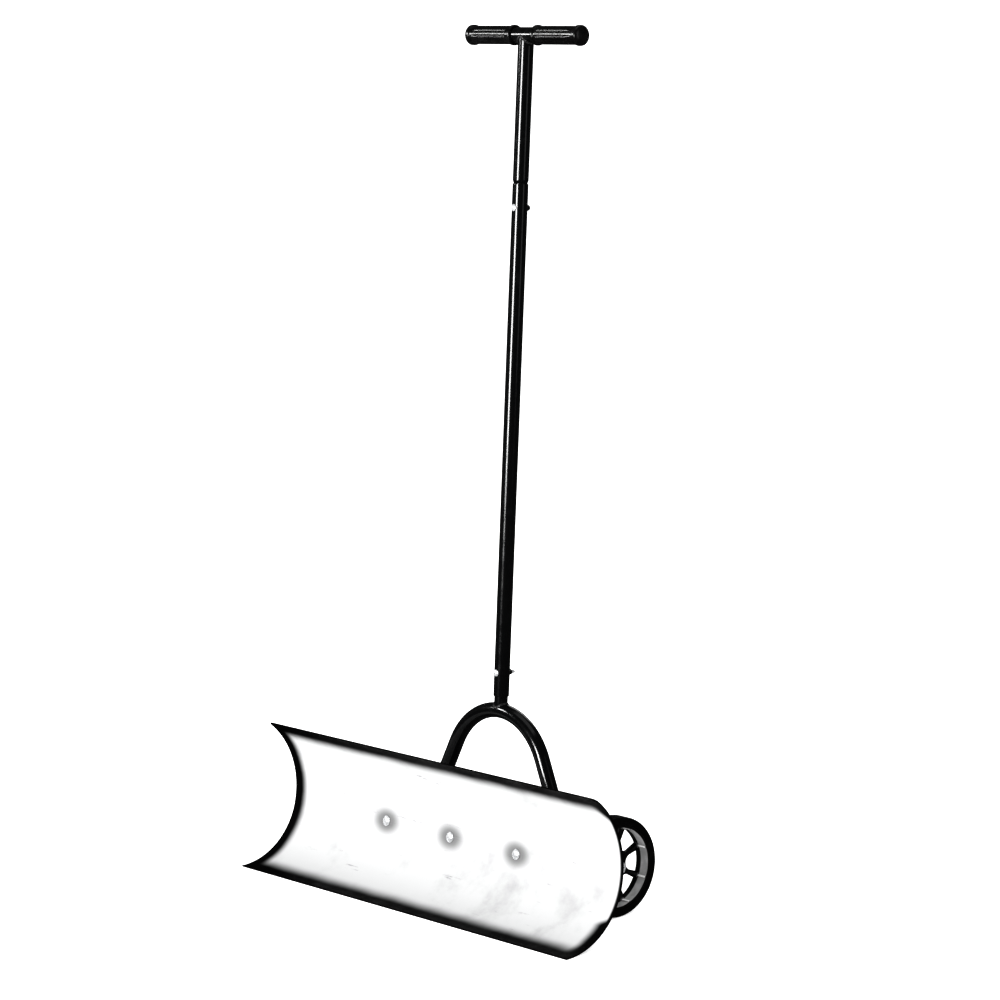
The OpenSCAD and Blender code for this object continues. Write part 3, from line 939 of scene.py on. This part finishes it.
def star_data(matrix):
    """The web: eight spokes round the hub, flared where they meet the barrel."""
    upper = half_window()
    sector = [Vector((p.x, -p.y)) for p in reversed(upper[1:])] + upper
    outline = []
    for i in range(SPOKES):
        turn = Matrix.Rotation(i * TURN / SPOKES, 2)
        outline += [turn @ p for p in sector]
    core = [p.normalized() * (HUB_R - 0.002) for p in outline]
    bevel = 0.0008
    inset = inset_outline(outline, bevel)
    low, high = WEB_FACES
    soft = bevel * (1 - math.sqrt(0.5))
    middle = inset_outline(outline, soft)
    levels = [(core, low), (inset, low), (middle, low + soft), (outline, low + bevel)]
    levels += [(outline, high - bevel), (middle, high - soft), (inset, high), (core, high)]
    return levels_data(levels, matrix, closed=True)


def rib_data(matrix, angle):
    """A shallow rib along the barrel's inside, at the end of a spoke."""
    width, height, half = 0.003, 0.0015, BARREL_HALF - 0.001
    low = BARREL_IN_R - height
    corners = [(low, -width / 2, 0.0006), (BARREL_IN_R + 0.0008, -width / 2, 0)]
    corners += [(BARREL_IN_R + 0.0008, width / 2, 0), (low, width / 2, 0.0006)]
    outline = rounded(corners, 3)
    turn = matrix @ Matrix.Rotation(angle, 4, "Z")
    return prism_data(outline, -half, half, 0.0005, turn)


def rim_piece(side, name, middle):
    """The moulded wheel: barrel, ribs, spokes and hub."""
    base = along_x(middle, side)
    spoked = base @ Matrix.Rotation(math.pi / 2 + side * SPOKE_TURN, 4, "Z")
    outer_r = TYRE_IN_R - TUCK
    web_low, web_high = WEB_FACES
    barrel = [(BARREL_IN_R, -BARREL_HALF, 0.0008), (outer_r, -BARREL_HALF, 0.0011)]
    barrel += [(outer_r, BARREL_HALF, 0.0011), (BARREL_IN_R, BARREL_HALF, 0.0008)]
    foot_r = HUB_R + 0.004
    hub = [(BUSH_R, -HUB_INBOARD, 0.0004), (HUB_R, -HUB_INBOARD, 0.001)]
    hub += [(HUB_R, web_low - 0.003, 0.002), (foot_r, web_low + 0.001, 0)]
    hub += [(foot_r, web_high - 0.001, 0), (HUB_R, web_high + 0.003, 0.002)]
    hub += [(HUB_R, HUB_OUTBOARD, 0.001), (BUSH_R, HUB_OUTBOARD, 0.0004)]
    parts = [lathe_data(rounded(barrel), base, 144), lathe_data(rounded(hub), base)]
    parts.append(star_data(spoked))
    for i in range(SPOKES):
        parts.append(rib_data(spoked, (i + 0.5) * TURN / SPOKES))
    nodes = [f"rim_{name}", f"spokes_{name}"]
    place(f"rim_{name}_moulding", parts, RIM, nodes, f"wheel_{name}", 40)


def tyre_piece(side, name, middle):
    """Solid tyre with three shallow grooves round its tread and a step on each side wall."""
    groove, depth = 0.0012, 0.0007
    tread = []
    for at in (-0.0065, 0.0, 0.0065):
        tread += [(TYRE_R, at - groove, 0.0002), (TYRE_R - depth, at - groove / 2, 0.0002)]
        tread += [(TYRE_R - depth, at + groove / 2, 0.0002), (TYRE_R, at + groove, 0.0002)]
    step_r = TYRE_IN_R + 0.0035
    step = 0.0006
    inner_wall = [(TYRE_IN_R, -TYRE_HALF + step, 0), (step_r, -TYRE_HALF + step, 0.0003)]
    inner_wall += [(step_r + step, -TYRE_HALF, 0.0003), (TYRE_R, -TYRE_HALF, 0.004)]
    outer_wall = [(radius, -along, edge) for radius, along, edge in reversed(inner_wall)]
    outline = rounded(inner_wall + tread + outer_wall, 5)
    parts = [lathe_data(outline, along_x(middle, side), 180)]
    place(f"tyre_{name}_solid", parts, TYRE, [f"tyre_{name}"], f"wheel_{name}")


def bush_piece(side, name, middle):
    end = HUB_OUTBOARD + FLANGE_T
    outline = [(BUSH_BORE_R, -HUB_INBOARD, 0.0003), (BUSH_R, -HUB_INBOARD, 0.0003)]
    outline += [(BUSH_R, HUB_OUTBOARD, 0), (FLANGE_R, HUB_OUTBOARD, 0.0002)]
    outline += [(FLANGE_R, end, 0.0005), (BUSH_BORE_R, end, 0.0003)]
    parts = [lathe_data(rounded(outline), along_x(middle, side), 72)]
    place(f"bush_{name}_flanged", parts, BUSH, [f"bush_{name}"], f"wheel_{name}")


def wheels():
    """Both wheels, each on the middle of its joint."""
    for side, name in SIDES:
        joint = next(j for j in frame["joints"] if j["child"] == f"wheel_{name}")
        middle = Vector(joint["pos_m"])
        rim_piece(side, name, middle)
        tyre_piece(side, name, middle)
        bush_piece(side, name, middle)


# ---------- yoke ----------


def foot_height(back):
    """Height of a leg's foot on the beam, in the pole's frame, at a place behind its middle."""
    off = back - BEAM_IN_POLE.y
    rise = math.sqrt(max(0.0, BEAM_R**2 - off**2))
    return BEAM_IN_POLE.z + max(FOOT_CUT, rise)


def arch_at(bend):
    """A point of the arch's middle line, in the pole's frame, and its outward direction."""
    out = Vector((math.sin(bend), 0, math.cos(bend)))
    return Vector((0, 0, -ARCH_DROP - ARCH_R)) + ARCH_R * out, out


def round_yoke(angle, out):
    """Direction from the yoke's middle line to its surface."""
    return math.cos(angle) * Vector((0, 1, 0)) + math.sin(angle) * out


def on_foot(side, angle, sunk=0.0):
    """Point where a leg's surface meets the beam, and the direction out of the leg there."""
    top, out = arch_at(side * ARCH_ANGLE)
    run = Vector((side * math.cos(ARCH_ANGLE), 0, -math.sin(ARCH_ANGLE)))
    radial = round_yoke(angle, out)
    start = top + YOKE_R * radial
    return start + run * ((foot_height(start.y) - sunk - start.z) / run.z), radial


def yoke_tube():
    """One bent tube: foot, leg, arch, leg and foot, cut to the beam's round."""
    around = [TURN * i / 48 for i in range(48)]
    rings = [[on_foot(-1, angle, TUCK)[0] for angle in around]]
    for bend in spread(-ARCH_ANGLE, ARCH_ANGLE, 64):
        middle, out = arch_at(bend)
        rings.append([middle + YOKE_R * round_yoke(angle, out) for angle in around])
    rings.append([on_foot(1, angle, TUCK)[0] for angle in around])
    points, faces = loft_data(rings)
    nodes = ["yoke_bend", "yoke_leg_left", "yoke_leg_right"]
    place("yoke_bent_tube", [([POLE @ p for p in points], faces)], BLACK, nodes, smooth_angle=40)


def arch_top(x, y):
    """Height of the arch's outer surface over a point, in the pole's frame."""
    reach = ARCH_R + math.sqrt(max(0.0, YOKE_R**2 - y**2))
    return -ARCH_DROP - ARCH_R + math.sqrt(reach**2 - x**2)


def yoke_stub():
    """The stub that stands on the arch and slips into the lower tube."""
    inner = NECK_R - NECK_WALL
    outline = [(inner, 0.0), (NECK_R, 0.0), (NECK_R, 0.03), (NECK_R, NECK_LEN), (inner, NECK_LEN)]

    def coped(radius, along, angle):
        if along > 0:
            return radius, along
        return radius, arch_top(radius * math.cos(angle), radius * math.sin(angle)) - TUCK

    place("yoke_stub_tube", [lathe_data(outline, POLE, 96, coped)], BLACK, ["yoke_stub"])


# ---------- pole and T-bar ----------


def plain_tube(matrix, low, high, inner_edge, outer_edge):
    """A length of the pole's tube, with a ring near each end that keeps its shading even."""
    inner = TUBE_R - TUBE_WALL
    near = 0.002
    outline = [(inner, low, inner_edge), (TUBE_R, low, outer_edge), (TUBE_R, low + near, 0)]
    outline += [(TUBE_R, high - near, 0), (TUBE_R, high, outer_edge), (inner, high, inner_edge)]
    return lathe_data(rounded(outline), matrix)


def pole_tubes():
    lower = plain_tube(POLE, 0, LOWER_LEN, 0.0004, 0.0007)
    place("pole_lower_tube", [lower], BLACK, ["lower_tube"])
    inner = TUBE_R - TUBE_WALL
    neck_in = NECK_R - NECK_WALL
    bottom = LOWER_LEN - NECK_LEN
    shoulder = LOWER_LEN + SHOULDER_H
    neck = [(neck_in, bottom, 0.0003), (NECK_R, bottom, 0.0003)]
    neck += [(NECK_R, LOWER_LEN + 0.0006, 0.002), (TUBE_R, shoulder, 0.003)]
    outside = [(TUBE_R, shoulder + 0.005, 0), (TUBE_R, BAR_UP, 0)]
    inside = [(inner, BAR_UP, 0), (inner, shoulder, 0), (neck_in, LOWER_LEN, 0)]
    upper = rounded(neck + outside + inside, 6)

    def coped(radius, along, angle):
        if along < BAR_UP - 1e-6:
            return radius, along
        side = TUBE_R * math.sin(angle)
        return radius, BAR_UP - math.sqrt(max(0.0, TUBE_R**2 - side**2)) + TUCK

    place("pole_upper_tube", [lathe_data(upper, POLE, 96, coped)], BLACK, ["upper_tube"])
    bar = plain_tube(along_x(BAR_MIDDLE), -BAR_HALF, BAR_HALF, 0, 0.0005)
    place("t_bar_tube", [bar], BLACK, ["t_bar"])


def grip_profile():
    """Half outline of a grip from its inner face to its domed end, then its bore."""
    corners = [(TUBE_R, GRIP_IN, 0.0003), (COLLAR_R, GRIP_IN, 0.0019)]
    corners += [(COLLAR_R, BODY_IN - 0.0002, 0.0016), (GRIP_R, BODY_IN + 0.0005, 0.0008)]
    start = rounded(corners + [(GRIP_R, BODY_OUT, 0), (TUBE_R, BODY_OUT, 0)], 6)[:-2]
    body = [(GRIP_R, along) for along in spread(BODY_IN + 0.002, BODY_OUT - 0.001, 56)]
    ring = [(GRIP_R, BODY_OUT - 0.0005, 0.0008), (COLLAR_R, BODY_OUT + 0.0004, 0.0012)]
    ring += [(COLLAR_R, BODY_OUT + COLLAR_W, 0), (0.0, BODY_OUT + COLLAR_W, 0)]
    ring += [(0.0, BODY_OUT - 0.004, 0), (GRIP_R, BODY_OUT - 0.004, 0)]
    collar = rounded(ring, 6)[:-4]
    dome = []
    for angle in spread(0.0, math.pi / 2, 14):
        radius = COLLAR_R * math.cos(angle) ** 0.8
        dome.append((radius, BODY_OUT + COLLAR_W + DOME_H * math.sin(angle)))
    dome[-1] = (0.0, GRIP_OUT)
    return start, body, collar, dome


def grips():
    """Fluted rubber grips with a collar at both ends and a domed outer end."""
    start, body, collar, dome = grip_profile()
    flute_from, flute_to = BODY_IN + 0.003, BODY_OUT - 0.002

    def fluted(radius, along, angle):
        if not flute_from < along < flute_to or abs(radius - GRIP_R) > 1e-6:
            return radius, along
        pitch = TURN / FLUTES
        turn = (angle + pitch / 2) % pitch - pitch / 2
        blunt = max(0.0, 1 - (along - flute_from) / 0.004)
        pointed = max(0.0, 1 - (flute_to - along) / 0.022)
        lift = FLUTE_DEPTH * (blunt**2 + pointed**1.5)
        middle = GRIP_R - FLUTE_DEPTH + FLUTE_R + lift
        inside = FLUTE_R**2 - (middle * math.sin(turn)) ** 2
        if inside <= 0:
            return radius, along
        return min(GRIP_R, middle * math.cos(turn) - math.sqrt(inside)), along

    for side, name in SIDES:
        profile = [(0.0, BAR_HALF), (TUBE_R, BAR_HALF)] + start + body + collar + dome
        parts = [lathe_data(profile, along_x(BAR_MIDDLE, side), FLUTES * 16, fluted)]
        place(f"grip_{name}_fluted", parts, GRIP, [f"grip_{name}"], smooth_angle=50)


# ---------- weld beads ----------


def bead_data(matrix, places, radius, closed=False):
    """A weld bead with overlapping ripples, through places: (point, direction away from the seam)."""
    if closed:
        places = places + places[:1]
    path = [matrix @ point for point, _ in places]
    outs = [(matrix.to_3x3() @ out).normalized() for _, out in places]
    marks = [0.0]
    for first, second in zip(path, path[1:]):
        marks.append(marks[-1] + (second - first).length)
    total = marks[-1]
    ripples = max(2, round(total / 0.0021))
    pitch = total / ripples
    samples = ripples * 7
    count = 14
    rings = []
    stretch = 0
    for k in range(samples + (0 if closed else 1)):
        at = total * k / samples
        while stretch < len(marks) - 2 and marks[stretch + 1] < at:
            stretch += 1
        share = (at - marks[stretch]) / max(1e-9, marks[stretch + 1] - marks[stretch])
        middle = path[stretch].lerp(path[stretch + 1], share)
        out = outs[stretch].lerp(outs[stretch + 1], share).normalized()
        run = (path[stretch + 1] - path[stretch]).normalized()
        out = (out - run * out.dot(run)).normalized()
        across = run.cross(out)
        end_ease = 1.0 if closed else min(1.0, (min(at, total - at) + 0.0006) / 0.003) ** 0.5
        ring = []
        for i in range(count):
            angle = TURN * i / count
            phase = (at / pitch + 0.35 * math.cos(angle)) % 1.0
            swell = 1 + 0.13 * (phase - phase**6)
            wander = 1 + 0.05 * math.sin(at * 1900 + 1.3) * math.sin(at * 700)
            size = radius * swell * wander * end_ease
            ring.append(middle + size * (0.85 * math.cos(angle) * out + math.sin(angle) * across))
        rings.append(ring)
    return loft_data(rings, closed)


def round_bead(radius, edge_at):
    """A closed bead on the pole's frame; edge_at(x, y) gives the seam's height and the way out."""
    steps = 120
    places = []
    for i in range(steps):
        angle = TURN * i / steps
        x, y = radius * math.cos(angle), radius * math.sin(angle)
        height, away = edge_at(x, y)
        places.append((Vector((x, y, height)), Vector((x, y, 0)).normalized() + away.normalized()))
    return bead_data(POLE, places, SADDLE_BEAD_R, True)


def t_bar_weld():
    """Bead round the saddle where the pole meets the T-bar."""

    def saddle(_, y):
        drop = math.hypot(math.sqrt(max(0.0, TUBE_R**2 - y**2)), 0.002)
        return BAR_UP - drop, Vector((0, y, -drop))

    place("t_bar_bead", [round_bead(TUBE_R, saddle)], WELD, ["t_bar_weld"], smooth_angle=60)


def yoke_welds():
    """Beads round the stub's foot and round both legs' feet."""
    parts = [round_bead(NECK_R, lambda x, y: (arch_top(x, y), Vector((0, y * 0.5, YOKE_R))))]
    for side in (-1, 1):
        places = []
        for angle in spread(FOOT_BEAD_GAP / 2, TURN - FOOT_BEAD_GAP / 2, 119):
            point, radial = on_foot(side, angle)
            off = point - BEAM_IN_POLE
            places.append((point, radial + Vector((0, off.y, off.z)).normalized()))
        parts.append(bead_data(POLE, places, FOOT_BEAD_R))
    place("yoke_beads", parts, WELD, ["yoke_welds"], smooth_angle=60)


def bracket_welds():
    """Beads on both faces of every web, where it meets the beam and its pad."""
    beam = beam_in_bolt_frame()
    _, angles = web_outline(beam)
    foot_z = SHEET_BACK + PLATE_T + TUCK
    parts = []
    for side in (-1, 0, 1):
        base = at_blade_bolt(side * BOLT_PITCH)
        for x, face in itertools.product(web_places(side), (-1, 1)):
            plane = x + face * (PLATE_T / 2 + 2 * TUCK)
            on_beam = []
            for angle in spread(*angles, 40):
                radial = Vector((0, math.cos(angle), math.sin(angle)))
                point = Vector((plane, beam.x, beam.y)) + radial * BEAM_R
                on_beam.append((point, radial + Vector((face, 0, 0))))
            parts.append(bead_data(base, on_beam, WEB_BEAD_R))
            if abs(plane) >= PAD_W / 2 - 0.001:
                continue
            seam = spread(PAD_CORNER_R - PAD_H / 2, PAD_H / 2 - PAD_CORNER_R, 30)
            on_pad = [(Vector((plane, along, foot_z)), Vector((face, 0, 1))) for along in seam]
            parts.append(bead_data(base, on_pad, PAD_BEAD_R))
    place("bracket_beads", parts, WELD, ["bracket_welds"], smooth_angle=60)


# ---------- stage ----------

AIM = Vector((0.28640, LIP_Y - 0.0012, 0.65570))
VIEW_AZIMUTH = math.radians(48.883)
VIEW_ELEVATION = math.radians(10.220)
VIEW_ROLL = math.radians(-2.909)
VIEW_DISTANCE = 5.00764
LENS = 128.25
WORLD_SEEN = 1.1
WORLD_DIFFUSE = 0.85
WORLD_GLOSSY = 0.06


def camera():
    """The camera: aimed at a point beside the pole, with a small roll."""
    level = Vector((math.cos(VIEW_AZIMUTH), math.sin(VIEW_AZIMUTH), 0))
    ahead = Vector((-math.sin(VIEW_AZIMUTH), math.cos(VIEW_AZIMUTH), 0))
    look = math.cos(VIEW_ELEVATION) * ahead - Vector((0, 0, math.sin(VIEW_ELEVATION)))
    upright = level.cross(look)
    right = math.cos(VIEW_ROLL) * level + math.sin(VIEW_ROLL) * upright
    up = math.cos(VIEW_ROLL) * upright - math.sin(VIEW_ROLL) * level
    data = bpy.data.cameras.new("camera")
    data.lens = LENS
    data.sensor_width = 36
    data.clip_end = 60
    obj = bpy.data.objects.new("camera", data)
    bpy.context.scene.collection.objects.link(obj)
    turn = Matrix((right, up, -look)).transposed().to_4x4()
    obj.matrix_world = Matrix.Translation(AIM - look * VIEW_DISTANCE) @ turn
    bpy.context.scene.camera = obj


def softbox(name, place_at, aim, width, height, power):
    data = bpy.data.lights.new(name, "AREA")
    data.shape = "RECTANGLE"
    data.size = width
    data.size_y = height
    data.energy = power
    obj = bpy.data.objects.new(name, data)
    bpy.context.scene.collection.objects.link(obj)
    obj.location = place_at
    obj.rotation_euler = (Vector(aim) - Vector(place_at)).to_track_quat("-Z", "Y").to_euler()


def lights():
    middle = Vector((0, 0, 0.6))
    softbox("key_front", (0.05, -3.3, 1.3), (0, 0, 1.25), 1.1, 1.25, 110)
    softbox("front_left", (-2.6, -2.2, 2.0), (0.0, 0.1, 1.25), 0.6, 0.6, 26)
    softbox("fill_right", (3.4, 0.6, 1.4), middle, 1.0, 1.8, 5)
    softbox("top", (0.0, 0.3, 3.6), (0, 0, 0), 2.6, 2.6, 14)
    softbox("rear", (-1.6, 2.8, 2.0), middle, 1.6, 1.6, 12)


def world():
    """White to the camera and to matt surfaces, darker in reflections, like a studio."""
    data = bpy.data.worlds.new("studio")
    bpy.context.scene.world = data
    data.use_nodes = True
    tree = data.node_tree
    background = tree.nodes["Background"]
    path = tree.nodes.new("ShaderNodeLightPath")
    strength = WORLD_DIFFUSE
    for ray, value in (("Is Camera Ray", WORLD_SEEN), ("Is Glossy Ray", WORLD_GLOSSY)):
        step = tree.nodes.new("ShaderNodeMix")
        for socket, source in (("Factor", path.outputs[ray]), ("A", strength), ("B", value)):
            feed(tree, source, step.inputs[socket])
        strength = step.outputs["Result"]
    feed(tree, strength, background.inputs["Strength"])
    feed(tree, grey(1.0), background.inputs["Color"])


def floor():
    half, low = 30, -0.0002
    points = [(-half, -half, low), (half, -half, low), (half, half, low), (-half, half, low)]
    obj = mesh_object("floor", points, [(0, 1, 2, 3)])
    obj.data.materials.append(floor_material())
    obj.visible_glossy = False


def tones():
    scene = bpy.context.scene
    scene.view_settings.view_transform = "Standard"
    scene.view_settings.look = "High Contrast"


camera()
lights()
world()
floor()
tones()
blade_sheet()
blade_fasteners()
joint_fasteners()
brackets()
beam_and_axle()
wheels()
yoke_tube()
yoke_stub()
pole_tubes()
grips()
t_bar_weld()
yoke_welds()
bracket_welds()
